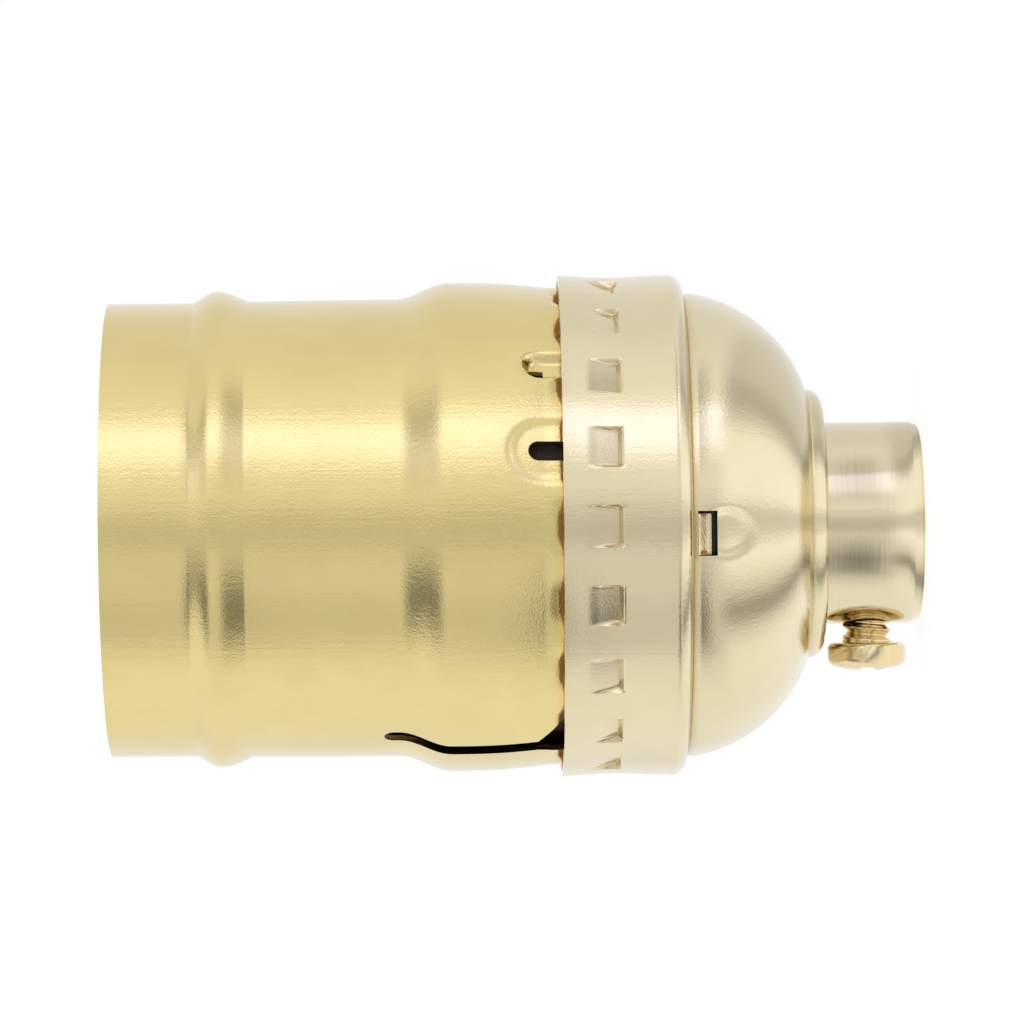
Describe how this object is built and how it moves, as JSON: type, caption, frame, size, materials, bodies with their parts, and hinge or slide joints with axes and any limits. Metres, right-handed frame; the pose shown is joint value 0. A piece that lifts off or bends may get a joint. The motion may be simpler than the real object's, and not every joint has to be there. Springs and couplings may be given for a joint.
{
  "type": "keyless lamp socket",
  "caption": "Brass lamp socket for a medium screw base, with a fluted shell over a domed cap, and a threaded hub with a set screw.",
  "frame": {"origin": "centre of the hub's end face, on the axis of its pipe thread", "axes": "+Z along the socket's axis from the hub to the mouth; the set screw points along -X"},
  "size_m": [0.0358, 0.0358, 0.0576],
  "materials": {
    "shell_brass": "satin, finely brushed along the axis",
    "cap_brass": "satin",
    "hub_brass": "bright turned",
    "set_screw_brass": "glossy",
    "screw_shell_brass": "satin",
    "contact_brass": "satin",
    "nickel": "satin nickel",
    "phenolic": "moulded, slightly glossy",
    "fibre": "matte vulcanised fibre"
  },
  "bodies": {
    "socket": {"cap": "cap_brass", "cap_hub": "hub_brass", "interior_base": "phenolic", "bottom_insulator": "fibre", "screw_shell": "screw_shell_brass", "centre_rivet": "contact_brass", "hot_terminal": "contact_brass", "neutral_terminal": "nickel", "front_rivet": "contact_brass", "rear_rivet": "contact_brass"},
    "shell": {"shell": "shell_brass", "insulating_sleeve": "fibre"},
    "set_screw": {"set_screw": "set_screw_brass"},
    "hot_screw": {"hot_screw": "contact_brass"},
    "neutral_screw": {"neutral_screw": "nickel"},
    "centre_contact": {"centre_contact": "contact_brass"}
  },
  "joints": [
    {"name": "shell_lift", "type": "slide", "parent": "socket", "child": "shell", "axis": [0, 0, 1], "range_m": [0, 0.045]},
    {"name": "set_screw_travel", "type": "slide", "parent": "socket", "child": "set_screw", "axis": [-1, 0, 0], "range_m": [-0.0011, 0.0015]},
    {"name": "hot_screw_travel", "type": "slide", "parent": "socket", "child": "hot_screw", "axis": [1, 0, 0], "range_m": [0, 0.0025]},
    {"name": "neutral_screw_travel", "type": "slide", "parent": "socket", "child": "neutral_screw", "axis": [-1, 0, 0], "range_m": [0, 0.0025]},
    {"name": "contact_flex", "type": "hinge", "parent": "socket", "child": "centre_contact", "pos_m": [-0.0024, 0, 0.0301], "axis": [0, 1, 0], "range_deg": [0, 5], "stiffness_Nm_per_rad": 0.05}
  ]
}
